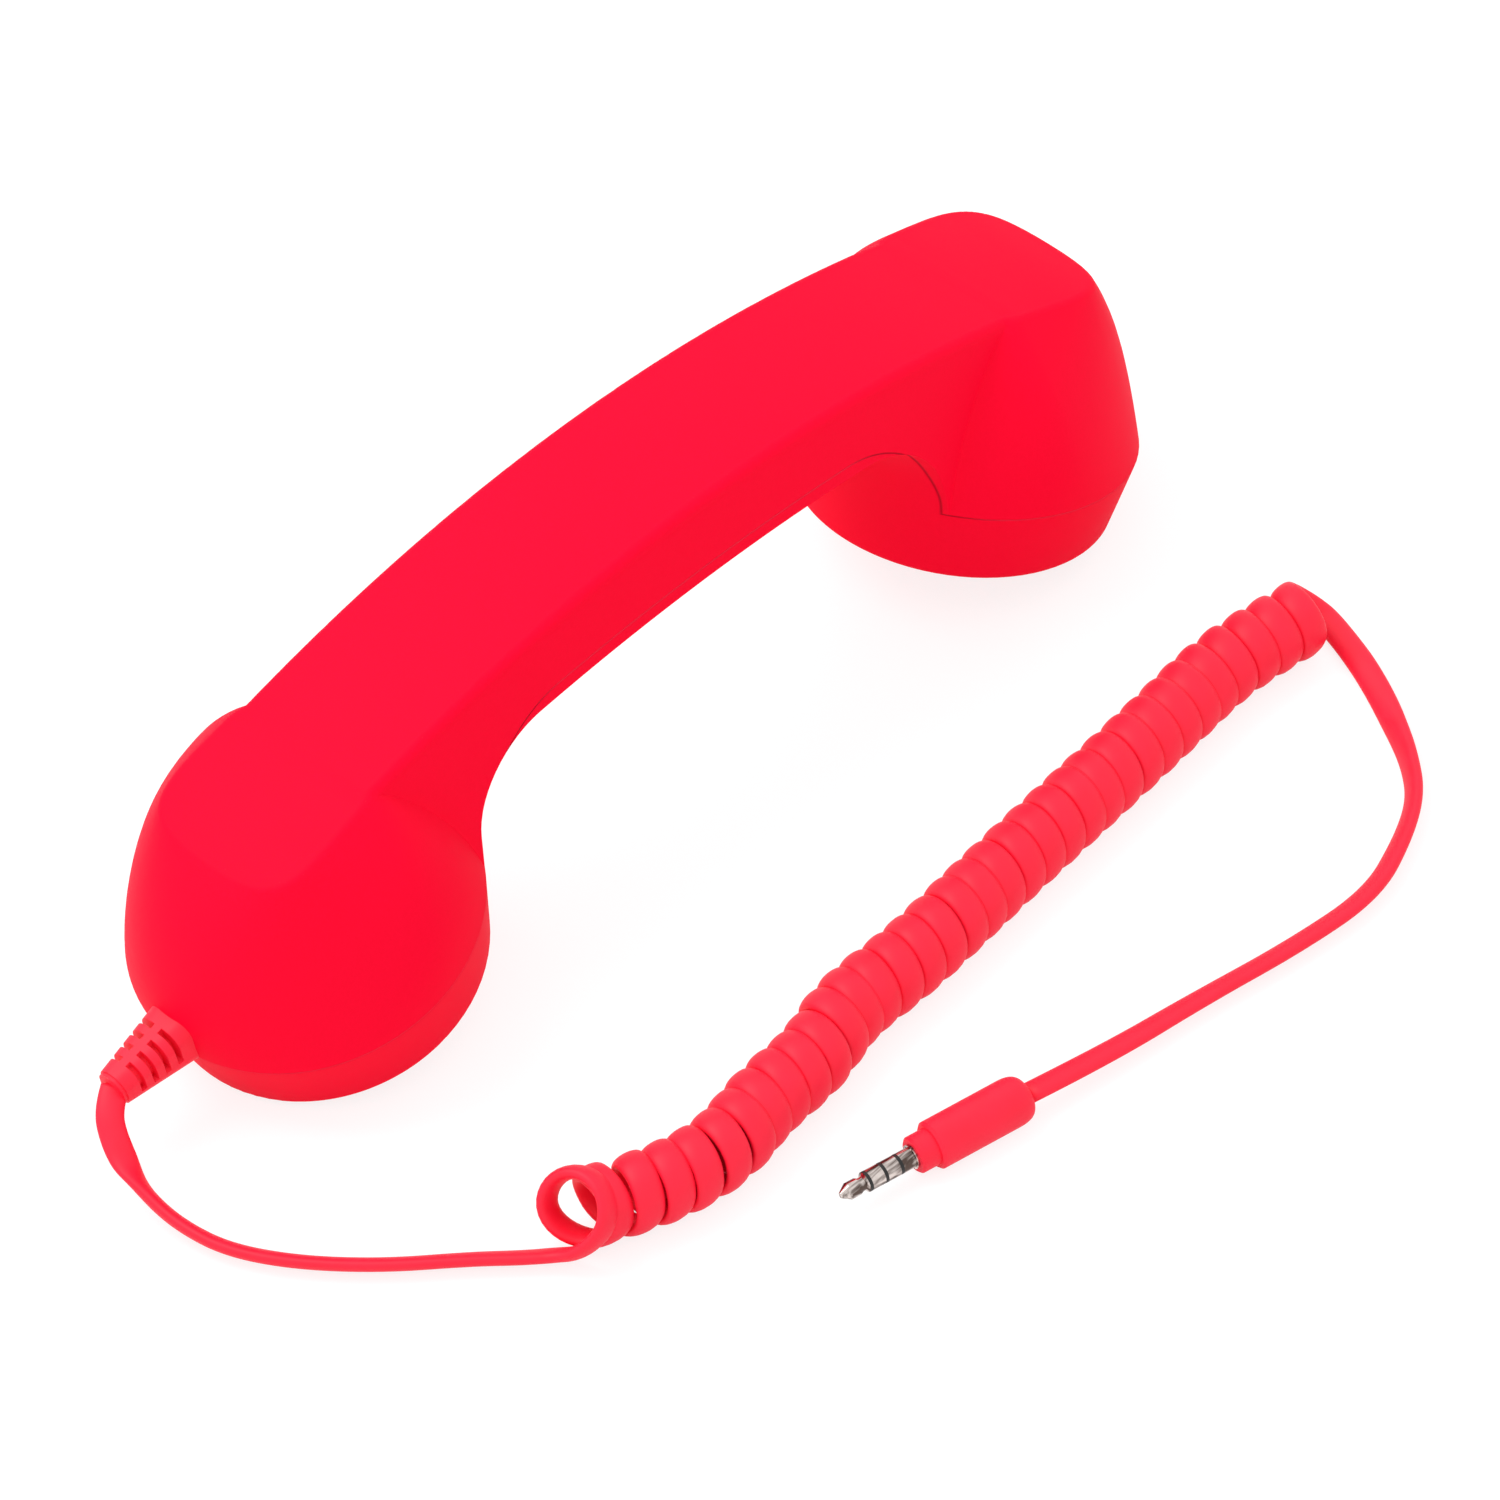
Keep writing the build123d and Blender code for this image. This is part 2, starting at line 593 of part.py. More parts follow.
# Strain relief
def gland():
    base = Pos(0, 0, -WALL) * RectangleRounded(GLAND_BASE, GLAND_BASE, 3.0)
    end = Pos(0, 0, GLAND_L - 0.6) * RectangleRounded(GLAND_END, GLAND_END, 2.7)
    lip = Pos(0, 0, GLAND_L - 0.6) * RectangleRounded(GLAND_END - 0.6, GLAND_END - 0.6, 2.4)
    body = loft([base, end]) + extrude(lip, 0.6)
    for row in range(SLOT_ROWS):
        low = SLOT_START + row * SLOT_PITCH
        for side in (-1, 1):
            reach = GLAND_BASE / 2
            slot = Pos(side * (SPINE / 2 + reach), SLOT_LOW + reach, low) * Box(
                2 * reach, 2 * reach, SLOT_WIDTH, align=(Align.CENTER, Align.CENTER, Align.MIN))
            body -= slot - disc(SLOT_CORE_R, low - 1, low + 2)
    flange_low_z = -WALL - GLAND_FLANGE_GAP - GLAND_FLANGE_T
    inner = rounded_bar(GLAND_NECK, 2, flange_low_z, 0) + rounded_bar(
        GLAND_FLANGE, 2, flange_low_z, flange_low_z + GLAND_FLANGE_T)
    return (gland_place * body - whole) + gland_place * inner


nodes["strain_relief"] = gland()


# Cord and plug
def cord(route, diameter, name):
    """A tube along straight runs joined by arcs as large as the runs allow."""
    points = [Vector(*p) for p in route]
    runs = [b - a for a, b in zip(points, points[1:])]
    radii = [
        0.45 * min(a.length, b.length) / tan(radians(a.get_angle(b)) / 2) for a, b in zip(runs, runs[1:])
    ]
    path = FilletPolyline(*points, radius=radii)
    start = Plane(origin=points[0], z_dir=runs[0])
    solid = sweep(start * Circle(diameter / 2), path=path)
    print(name, "radii", [round(r, 1) for r in radii], "volume ratio",
          round(solid.volume / (pi * diameter ** 2 / 4 * path.length), 4))
    return solid


nodes["cord_lead"] = cord(LEAD_ROUTE, CORD_D, "cord_lead")
nodes["cord_coil"] = cord(COIL_ROUTE, COIL_D, "cord_coil")
nodes["cord_tail"] = cord(TAIL_ROUTE, CORD_D, "cord_tail")

plug_place = Location(Plane(origin=TAIL_ROUTE[-1], x_dir=(0, 0, 1), z_dir=PLUG_DIR))
front = PLUG_L + PLUG_COLLAR_L
tip_end = front + PIN_L
breaks = [tip_end - b for b in PIN_BREAKS]
half_gap = INSULATOR_T / 2
grip = make_face([
    Line((0, 0), (PLUG_REAR_R, 0)),
    Spline((PLUG_REAR_R, 0), (PLUG_R, PLUG_SHOULDER), tangents=((1, 0.35), (0, 1))),
    Polyline((PLUG_R, PLUG_SHOULDER), (PLUG_R, PLUG_L - 0.5), (PLUG_R - 0.5, PLUG_L), (PLUG_COLLAR_R, PLUG_L),
             (PLUG_COLLAR_R, front - 0.4), (PLUG_COLLAR_R - 0.4, front), (0, front), (0, 0)),
])
nodes["plug_body"] = plug_place * (
    revolve(Plane.XZ * grip, Axis.Z) - disc(PIN_ROOT_R, front - PIN_ROOT, front + 1)
)
nodes["plug_sleeve"] = plug_place * (
    tube(PIN_ROOT_R, INSULATOR_CORE_R + PIN_FIT, front - PIN_ROOT, front)
    + tube(PIN_R, INSULATOR_CORE_R + PIN_FIT, front, breaks[0] - half_gap)
    + tube(SLEEVE_LIP_R, PIN_R - 0.1, front, front + SLEEVE_LIP_T)
)
nodes["plug_ring_2"] = plug_place * tube(
    PIN_R, INSULATOR_CORE_R + PIN_FIT, breaks[0] + half_gap, breaks[1] - half_gap)
nodes["plug_ring_1"] = plug_place * tube(
    PIN_R, INSULATOR_CORE_R + PIN_FIT, breaks[1] + half_gap, breaks[2] - half_gap)
insulation = disc(INSULATOR_CORE_R, front - PIN_ROOT, breaks[2] + half_gap)
for middle in breaks:
    insulation += disc(PIN_R, middle - half_gap, middle + half_gap)
nodes["plug_insulation"] = plug_place * (
    insulation - disc(PIN_CORE_R + PIN_FIT, front - PIN_ROOT - 1, breaks[2] + 1)
)
tip_low = breaks[2] + half_gap
nodes["plug_tip"] = plug_place * (
    turned([
        (0, tip_low), (PIN_R, tip_low), (TIP_WAIST_R, tip_low + 0.4), (TIP_WAIST_R, tip_low + 0.9),
        (TIP_R, tip_low + 1.5), (TIP_R, tip_end - 1.5), (TIP_END_R, tip_end), (0, tip_end),
    ])
    + disc(PIN_CORE_R, front - PIN_ROOT, tip_low)
)


# Wires between the speaker, the button's board, the microphone and the cord
def wires(route):
    """A thin round lead along one route."""
    path = FilletPolyline(*route, radius=WIRE_BEND)
    return sweep(Plane(origin=route[0], z_dir=path % 0) * Circle(WIRE_R), path=path)


def at(place, x, y, z):
    return (place * Pos(x, y, z)).position


wire_x = 0.44 * CUP_X
wire_z = HANDLE_TOP_Z - WALL - WIRE_DROP
yoke_top = plate_top + SPK_FIT + YOKE_PLATE_T
board_end = BOARD_L / 2 + WIRE_GAP
board_mid = (switch_high + board_top) / 2
capsule_top = boot_floor + CAPSULE_H
gland_inner = -WALL - GLAND_FLANGE_GAP - GLAND_FLANGE_T
nodes["speaker_leads"] = wires([
    at(ear, WIRE_Y, 0, yoke_top), at(ear, WIRE_Y, 0, yoke_top + 6),
    at(button_place, BOARD_L + 4, 0, switch_low), at(button_place, board_end, 0, board_mid),
])
nodes["mic_leads"] = wires([
    at(mouth, 0, -WIRE_Y, capsule_top), at(mouth, 0, -WIRE_Y, capsule_top + WIRE_RISE),
    (-wire_x, WIRE_Y, wire_z), (0, WIRE_Y, wire_z + 1), at(button_place, -board_end, WIRE_Y, board_mid),
])
nodes["line_leads"] = wires([
    at(gland_place, 0, 0, gland_inner), at(gland_place, 0, 0, gland_inner - 7),
    at(mouth, 0.1 * CUP_R, WIRE_Y, 0.44 * dome_top_w), at(mouth, -0.82 * CUP_R, WIRE_Y, 0.75 * dome_top_w),
    (-wire_x, -WIRE_Y, wire_z), (0, -WIRE_Y, wire_z + 1),
    at(button_place, -board_end, -WIRE_Y, board_mid),
])

os.makedirs("parts", exist_ok=True)
for name, solid in nodes.items():
    export_step(solid, f"parts/{name}.step")
print(len(nodes), "nodes")
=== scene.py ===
import bpy
import bmesh
import json
from math import cos, pi, radians, sin
from mathutils import Matrix, Vector


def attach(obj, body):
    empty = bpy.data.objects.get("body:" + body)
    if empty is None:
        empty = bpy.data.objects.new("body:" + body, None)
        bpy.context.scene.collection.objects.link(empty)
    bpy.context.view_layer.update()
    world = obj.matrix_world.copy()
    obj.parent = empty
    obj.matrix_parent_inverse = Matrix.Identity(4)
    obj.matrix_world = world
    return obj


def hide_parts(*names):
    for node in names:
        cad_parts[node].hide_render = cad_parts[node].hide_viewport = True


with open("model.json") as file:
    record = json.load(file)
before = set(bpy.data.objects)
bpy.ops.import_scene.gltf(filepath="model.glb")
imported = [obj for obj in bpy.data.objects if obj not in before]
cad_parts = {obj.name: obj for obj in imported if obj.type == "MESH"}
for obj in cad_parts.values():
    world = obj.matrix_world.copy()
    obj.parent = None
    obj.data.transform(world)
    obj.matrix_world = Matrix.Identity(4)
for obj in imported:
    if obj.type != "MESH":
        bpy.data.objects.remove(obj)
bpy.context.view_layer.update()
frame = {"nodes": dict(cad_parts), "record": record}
nodes = frame["nodes"]
scene = bpy.context.scene

# Camera
# A long lens about 1.5 m away, looking down at 45 degrees from the mouthpiece's side. The lens and the
# camera's roll are those that the handset's outline gives in a 1500 x 1500 picture.
CAMERA_PLACE = (-0.7365, -0.7995, 1.1019)
bpy.ops.object.camera_add(location=CAMERA_PLACE)
camera = bpy.context.object
camera.matrix_world = (
    Matrix.Translation(CAMERA_PLACE)
    @ Matrix.Rotation(radians(-43.541), 4, "Z")
    @ Matrix.Rotation(radians(90 - 45.440), 4, "X")
    @ Matrix.Rotation(radians(-3.194), 4, "Z")
)
camera.data.lens = 223.94
camera.data.sensor_width = 36
scene.camera = camera

# Curly cord
# A flat ribbon of four conductors in soft PVC. Most of it was wound on a rod and heat-set, so that it
# coils. It leaves the mouthpiece, runs along the floor into the coil, comes back in a loop and ends in
# the plug. The lead pulls the first turn open, and the tail pulls the last one on.
CORD_WIDTH = 0.0046
CORD_THICK = 0.0023
SECTION_POINTS = 28
EDGE_ROUND, FACE_ROUND = 0.94, 0.92   # powers of the section's superellipse; 1 is an ellipse
WOUND_WIDTH = 1.13                    # winding presses the ribbon this much wider
FLOOR_GAP = 0.00005
LEAD_POINTS = [
    (-0.1196, 0.0, 0.0137), (-0.1229, -0.0017, 0.0122), (-0.1249, -0.0049, 0.0094),
    (-0.1262, -0.0095, 0.0062), (-0.1268, -0.0152, 0.0039), (-0.1265, -0.0220, 0.0026),
    (-0.1247, -0.0304, 0.0021), (-0.1192, -0.0402, 0.0020), (-0.1106, -0.0506, 0.0020),
    (-0.1002, -0.0600, 0.0020), (-0.0946, -0.0658, 0.0020), (-0.0908, -0.0693, 0.0021),
]
COIL_POINTS = [
    (-0.0822, -0.0692), (-0.0735, -0.0738), (-0.0600, -0.0766), (-0.0480, -0.0736), (-0.0360, -0.0734),
    (-0.0250, -0.0694), (-0.0100, -0.0699), (0.0120, -0.0676), (0.0350, -0.0658), (0.0550, -0.0642),
    (0.0710, -0.0624), (0.0802, -0.0629), (0.0900, -0.0644),
]
TAIL_POINTS = [
    (0.0931, -0.0744, 0.0018), (0.0895, -0.0822, 0.0018), (0.0852, -0.0898, 0.0019),
    (0.0806, -0.0969, 0.0021), (0.0750, -0.1032, 0.0022), (0.0666, -0.1079, 0.0022),
    (0.0538, -0.1126, 0.0022), (0.0365, -0.1110, 0.0022), (0.0176, -0.1074, 0.0022),
    (-0.0014, -0.1050, 0.0029), (-0.0177, -0.1021, 0.00415),
]
LEAD_RISE = 0.0032        # how far before the first turn the lead heads up into it
TAIL_START = 0.0014       # how far the tail keeps the last turn's heading

# The coil. It is wound from the lead on: a turn starts at the floor, climbs the side near the camera,
# passes the top at 180 degrees and goes down the far side.
COIL_R = 0.0054           # from the coil's middle to the middle of the ribbon
COIL_TURNS = 35
STEPS_A_TURN = 36
COIL_AHEAD = Vector((1, 0.04, 0))     # every turn faces halfway between this and the coil's own heading
UNEVEN = ((0.00016, 5.3, 0), (0.00012, 2.9, 1))   # a waver in the spacing: size, span and start

# The first turn is a wider loop that leans back on the second. Spans are degrees of winding.
LOOP_MIDDLE = Vector((-0.0857, -0.0693, 0.0087))
LOOP_NEAR = Vector((0.083, -0.997, 0))
LOOP_UP = Vector((0.602, 0.050, 0.797))
LOOP_R = 0.0059
LOOP_START = radians(60)
LOOP_LEAVES = (230, 460)
LOOP_STRAIGHTENS = (270, 450)
SECOND_HELD = 0.0015      # the second turn's far side is held back by the first
HOLD_GROWS = (470, 590)
HOLD_ENDS = (660, 780)

# The tail pulls the last turn on from its top, and the last turns lean back a little.
LAST_TOP = 2 * pi * (COIL_TURNS - 1) + radians(216)   # the highest place in the picture
COIL_END = 2 * pi * (COIL_TURNS - 1) + radians(335)
TAIL_PULL = 0.0038
LAST_LEAN = Vector((-0.2, 0, 0))
LEAN_FROM, LEAN_OVER = 0.7, 0.2       # shares of the winding


def along(points, name, resolution):
    """Points read from a smooth curve that has the given control points."""
    line = bpy.data.curves.new(name, "CURVE")
    line.dimensions = "3D"
    line.resolution_u = resolution
    spline = line.splines.new("NURBS")
    spline.points.add(len(points) - 1)
    for point, place in zip(spline.points, points):
        point.co = (*place, 1)
    spline.order_u = 3
    spline.use_endpoint_u = True
    guide = bpy.data.objects.new(name, line)
    mesh = bpy.data.meshes.new_from_object(guide)
    places = [v.co.copy() for v in mesh.vertices]
    bpy.data.objects.remove(guide)
    bpy.data.curves.remove(line)
    bpy.data.meshes.remove(mesh)
    return places


def ease(x):
    x = min(max(x, 0), 1)
    return x * x * (3 - 2 * x)


def passed(turn, span):
    """0 before a span in degrees, 1 after it, and a smooth rise between."""
    low, high = span
    return ease((turn - radians(low)) / radians(high - low))


def coil():
    """The ribbon's middle round the coil's axis, and the way its outer side faces there."""
    height = COIL_R + CORD_THICK / 2
    axis = along([(x, y, height) for x, y in COIL_POINTS], "coil axis", 16)
    run = [0]
    for a, b in zip(axis, axis[1:]):
        run.append(run[-1] + (b - a).length)
    steps = STEPS_A_TURN * COIL_TURNS
    places, faces = [], []
    at = 0
    for i in range(steps + 1):
        turn = LOOP_START + (COIL_END - LOOP_START) * i / steps
        pulled = ease((turn - LAST_TOP) / (COIL_END - LAST_TOP))
        advance = run[-1] * (turn - 2 * pi) / (LAST_TOP - 2 * pi) + TAIL_PULL * pulled
        advance += sum(size * sin(turn / span + start) for size, span, start in UNEVEN)
        while at < len(axis) - 2 and run[at + 1] < advance:
            at += 1
        heading = (axis[at + 1] - axis[at]).normalized()
        middle = axis[at] + heading * (advance - run[at])
        ahead = (heading + COIL_AHEAD).normalized()
        near = Vector((ahead.y, -ahead.x, 0)).normalized()
        held = passed(turn, HOLD_GROWS) * (1 - passed(turn, HOLD_ENDS))
        middle -= heading * SECOND_HELD * held
        middle = middle.lerp(LOOP_MIDDLE, 1 - passed(turn, LOOP_LEAVES))
        leaning = 1 - passed(turn, LOOP_STRAIGHTENS)
        near = near.lerp(LOOP_NEAR, leaning).normalized()
        upward = Vector((0, 0, 1)).lerp(LOOP_UP, leaning)
        upward += LAST_LEAN * ease((turn / COIL_END - LEAN_FROM) / LEAN_OVER)
        upward.normalize()
        out = near * sin(turn) - upward * cos(turn)
        places.append(middle + out * (COIL_R + (LOOP_R - COIL_R) * leaning))
        faces.append(out)
    return places, faces


def turned_faces(count, stations):
    """The way the outer side faces along a stretch, from (share of its length, direction) stations."""
    faces = []
    for i in range(count):
        share = i / (count - 1)
        for (low, a), (high, b) in zip(stations, stations[1:]):
            if share <= high:
                break
        faces.append(Vector(a).lerp(Vector(b), ease((share - low) / (high - low))))
    return faces


ribbon_section = []
for k in range(SECTION_POINTS):
    a = 2 * pi * k / SECTION_POINTS
    ribbon_section.append((
        CORD_WIDTH / 2 * abs(cos(a)) ** EDGE_ROUND * (1 if cos(a) > 0 else -1),
        CORD_THICK / 2 * abs(sin(a)) ** FACE_ROUND * (1 if sin(a) > 0 else -1),
    ))


def ribbon_sides(places, faces):
    """For each place, the way across the ribbon and the way out of its face."""
    sides = []
    for i, face in enumerate(faces):
        heading = (places[min(i + 1, len(places) - 1)] - places[max(i - 1, 0)]).normalized()
        out = (face - heading * face.dot(heading)).normalized()
        sides.append((heading.cross(out), out))
    return sides


def seated(places, faces):
    """The same places, lifted where the ribbon would reach below the floor."""
    lifted = []
    for place, (side, out) in zip(places, ribbon_sides(places, faces)):
        reach = max(side.z * x + out.z * y for x, y in ribbon_section)
        lifted.append(Vector((place.x, place.y, max(place.z, reach + FLOOR_GAP))))
    return lifted


def ribbon(places, faces, widths, name):
    """A closed ribbon along the places, its outer side turned to the faces."""
    mesh = bpy.data.meshes.new(name)
    shape = bmesh.new()
    rings = []
    for place, (side, out), width in zip(places, ribbon_sides(places, faces), widths):
        rings.append([shape.verts.new(place + side * x * width + out * y) for x, y in ribbon_section])
    for a, b in zip(rings, rings[1:]):
        for k in range(len(ribbon_section)):
            n = (k + 1) % len(ribbon_section)
            shape.faces.new((a[k], a[n], b[n], b[k]))
    shape.faces.new(list(reversed(rings[0])))
    shape.faces.new(rings[-1])
    bmesh.ops.recalc_face_normals(shape, faces=shape.faces)
    for face in shape.faces:
        face.smooth = len(face.verts) == 4
    shape.to_mesh(mesh)
    shape.free()
    piece = bpy.data.objects.new(name, mesh)
    scene.collection.objects.link(piece)
    return piece


def linear(colour):
    """An sRGB hex colour as the linear colour that shaders take."""
    parts = [int(colour[i:i + 2], 16) / 255 for i in (1, 3, 5)]
    return tuple(c / 12.92 if c <= 0.04045 else ((c + 0.055) / 1.055) ** 2.4 for c in parts) + (1,)


def add(material, kind, settings=None, **links):
    """A node with its settings, and its inputs linked to other nodes' outputs or given values.

    An input is named, or i with its number where its name isn't its own.
    """
    node = material.node_tree.nodes.new(kind)
    for name, value in (settings or {}).items():
        setattr(node, name, value)
    for name, value in links.items():
        socket = node.inputs[int(name[1:]) if name[1:].isdigit() else name.replace("_", " ")]
        if isinstance(value, bpy.types.NodeSocket):
            material.node_tree.links.new(value, socket)
        else:
            socket.default_value = value
    return node


def finish_of(name, low, high, grain, rough, metal=0):
    """A new material that wavers between two colours over a grain size in metres.

    Gives the material, its shader, its Object coordinates and the waver's output.
    """
    material = bpy.data.materials.new(name)
    material.use_nodes = True
    tree = material.node_tree
    shader = tree.nodes["Principled BSDF"]
    place = add(material, "ShaderNodeTexCoord").outputs["Object"]
    waver = add(material, "ShaderNodeTexNoise", Vector=place, Scale=1 / grain, Detail=3.0).outputs["Fac"]
    tint = add(material, "ShaderNodeMix", {"data_type": "RGBA"}, i0=waver, i6=linear(low), i7=linear(high))
    tree.links.new(tint.outputs[2], shader.inputs["Base Color"])
    gloss = add(material, "ShaderNodeMapRange", i0=waver, i3=rough[0], i4=rough[1])
    tree.links.new(gloss.outputs[0], shader.inputs["Roughness"])
    shader.inputs["Metallic"].default_value = metal
    return material, shader, place, waver


def roughen(material, shader, height, depth, strength):
    """Bump of a depth in metres."""
    bump = add(material, "ShaderNodeBump", Height=height, Strength=strength, Distance=depth)
    material.node_tree.links.new(bump.outputs[0], shader.inputs["Normal"])


# Flexible PVC, extruded: an even satin skin, slightly paler than the handset, with a faint waver in its
# gloss over some 4 mm and a fine skin that breaks up its highlights.
pvc, shader, place, waver = finish_of("soft PVC", "#F80E31", "#FF1B3E", 0.004, (0.48, 0.6))
skin = add(pvc, "ShaderNodeTexNoise", Vector=place, Scale=1 / 0.0004, Detail=2.0)
roughen(pvc, shader, skin.outputs["Fac"], 0.00005, 0.12)
shader.inputs["IOR"].default_value = 1.52
shader.inputs["Specular IOR Level"].default_value = 0.35

coiled, coil_faces = coil()
lead_heading = (coiled[1] - coiled[0]).normalized()
tail_heading = (coiled[-1] - coiled[-2]).normalized()
lead = along(LEAD_POINTS + [coiled[0] - lead_heading * LEAD_RISE, coiled[0]], "lead", 12)
tail = along([coiled[-1], coiled[-1] + tail_heading * TAIL_START] + TAIL_POINTS, "tail", 12)

# The ribbon's outer side, which lies on the floor for most of the way, at shares of each stretch. Turned
# away from the camera, the ribbon shows its whole width.
AWAY = (0.483, 0.509, -0.712)
lead_faces = turned_faces(len(lead), [
    (0, AWAY), (0.1, AWAY), (0.3, (-0.86, 0.12, -0.49)),
    (0.55, (-0.49, -0.52, -0.70)), (0.85, (-0.30, -0.55, -0.78)), (1, coil_faces[0]),
])
tail_faces = turned_faces(len(tail), [
    (0, coil_faces[-1]), (0.08, (0.35, 0.45, -0.8)), (0.2, (0.48, 0.2, -0.7)), (0.45, (0.8, -0.45, -0.45)),
    (0.8, (0.1, -0.5, -0.9)), (1, (0, -0.2, -1)),
])
cord_faces = lead_faces[:-1] + coil_faces + tail_faces[1:]
cord_places = seated(lead[:-1] + coiled + tail[1:], cord_faces)
widths = []
for i in range(len(cord_places)):
    since_start = (i - len(lead)) / STEPS_A_TURN
    till_end = (len(lead) + len(coiled) - i) / STEPS_A_TURN
    widths.append(1 + (WOUND_WIDTH - 1) * ease(since_start) * ease(till_end))
cord = ribbon(cord_places, cord_faces, widths, "cord")
cord.data.materials.append(pvc)
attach(cord, "handset")
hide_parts("cord_lead", "cord_coil", "cord_tail")

# Handset shells, face caps and call button
# Moulded ABS with a soft-touch lacquer sprayed on: matte, a full bright red with a broad, faint sheen and a
# dense, very fine speckle. Where the two shells meet, their rounded edges leave a hairline seam, drawn into
# the red as painted shade and a painted highlight.
lacquer, shader, place, waver = finish_of(
    "soft-touch lacquer", "#F8002B", "#FF0434", 0.0005, (0.55, 0.68))
shader.inputs["Specular IOR Level"].default_value = 0.06


def reckon(operation, *values):
    """The lacquer's own sums: the output of a maths node."""
    inputs = {f"i{n}": value for n, value in enumerate(values)}
    return add(lacquer, "ShaderNodeMath", {"operation": operation}, **inputs).outputs[0]


# The seam is a flat joint round each cup, tilted by 15 degrees. It climbs straight up the neck and runs
# along the handle as an arch, with a bend of 20 mm between the two. Its hairline is painted into the
# lacquer's colour: painted shade of the gap, darkest round the necks, and elsewhere a painted highlight
# along its edge.
CUP_X, CUP_Z = 0.077, 0.020382        # middle of a cup at the seam
TILT = radians(15)
NECK_X = 0.0534
ARCH_Z, ARCH_R = -0.2826, 0.33535     # middle and radius of the arch
BEND_R = 0.02
SEAM_HALF = 0.0002                    # half the hairline's width
PAINTED_SHADE_X = 0.047                        # the painted shade is darkest round here,
PAINTED_SHADE_HALF, PAINTED_HIGHLIGHT_BEYOND = 0.008, 0.014     # so far to both sides, and the painted highlight from here on
axes = add(lacquer, "ShaderNodeSeparateXYZ", Vector=place).outputs
beside = reckon("ABSOLUTE", axes[0])
outward = reckon("MULTIPLY_ADD", beside, sin(TILT), -CUP_X * sin(TILT) - CUP_Z * cos(TILT))
above_cup = reckon("MULTIPLY_ADD", axes[2], cos(TILT), outward)
height = reckon("SUBTRACT", axes[2], ARCH_Z)
from_middle = reckon("SQRT", reckon("MULTIPLY_ADD", beside, beside, reckon("MULTIPLY", height, height)))
over_arch = reckon("MAXIMUM", reckon("SUBTRACT", from_middle, ARCH_R - BEND_R), 0.0)
over_neck = reckon("MAXIMUM", reckon("SUBTRACT", beside, NECK_X - BEND_R), 0.0)
over_neck_squared = reckon("MULTIPLY", over_neck, over_neck)
bent = reckon("SQRT", reckon("MULTIPLY_ADD", over_arch, over_arch, over_neck_squared))
off_seam = reckon("ABSOLUTE", reckon("MINIMUM", above_cup, reckon("SUBTRACT", bent, BEND_R)))
seam = add(lacquer, "ShaderNodeMapRange", i0=off_seam, i1=SEAM_HALF, i2=0.0).outputs[0]
paint = shader.inputs["Base Color"].links[0].from_socket
from_painted_shade = reckon("ABSOLUTE", reckon("SUBTRACT", beside, PAINTED_SHADE_X))
painted_highlight_share = add(lacquer, "ShaderNodeMapRange", i0=from_painted_shade, i1=PAINTED_SHADE_HALF, i2=PAINTED_HIGHLIGHT_BEYOND).outputs[0]
# Painted shade for the gap and a painted highlight for its edge, mixed into the base colour along the seam.
painted_gap_shade, painted_edge_highlight = linear("#6A0010"), linear("#FF3552")
line = add(lacquer, "ShaderNodeMix", {"data_type": "RGBA"}, i0=painted_highlight_share, i6=painted_gap_shade, i7=painted_edge_highlight).outputs[2]
shade = reckon("MULTIPLY", seam, 0.6)
seam_with_painted_light = add(lacquer, "ShaderNodeMix", {"data_type": "RGBA"}, i0=shade, i6=paint, i7=line)
lacquer.node_tree.links.new(seam_with_painted_light.outputs[2], shader.inputs["Base Color"])
roughen(lacquer, shader, reckon("SUBTRACT", reckon("MULTIPLY", waver, 0.04), seam), 0.0002, 0.8)


def body_of(name):
    for body, members in frame["record"]["behaviour"]["bodies"].items():
        if name in members:
            return body


def smooth_copy(name, material, angle=30):
    """A copy of a CAD piece with its triangles joined, so that its curved faces shade smoothly."""
    piece = nodes[name].copy()
    piece.data = nodes[name].data.copy()
    piece.parent = None
    for key in list(piece.keys()):
        del piece[key]
    piece.name = name + "_skin"
    scene.collection.objects.link(piece)
    bpy.ops.object.select_all(action="DESELECT")
    piece.select_set(True)
    bpy.context.view_layer.objects.active = piece
    bpy.ops.object.mode_set(mode="EDIT")
    bpy.ops.mesh.select_all(action="SELECT")
    bpy.ops.mesh.remove_doubles(threshold=0.000004)
    bpy.ops.object.mode_set(mode="OBJECT")
    if piece.data.has_custom_normals:
        bpy.ops.mesh.customdata_custom_splitnormals_clear()
    bpy.ops.object.shade_smooth_by_angle(angle=radians(angle))
    piece.data.materials.clear()
    piece.data.materials.append(material)
    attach(piece, body_of(name))
    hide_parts(name)
    return piece


for name in ("upper_shell", "lower_shell", "answer_button", "ear_grille", "mouth_grille"):
    smooth_copy(name, lacquer)

# Strain relief and plug
# The slotted gland and the plug's grip are moulded round the cord from the same PVC. The pin's four
# contacts are turned brass, nickel plated, with black nylon between them.
gland = smooth_copy("strain_relief", pvc)
grip = smooth_copy("plug_body", pvc)
nickel, shader, place, waver = finish_of("nickel plating", "#C8BAB3", "#EDE3DE", 0.0011, (0.1, 0.2), 1)
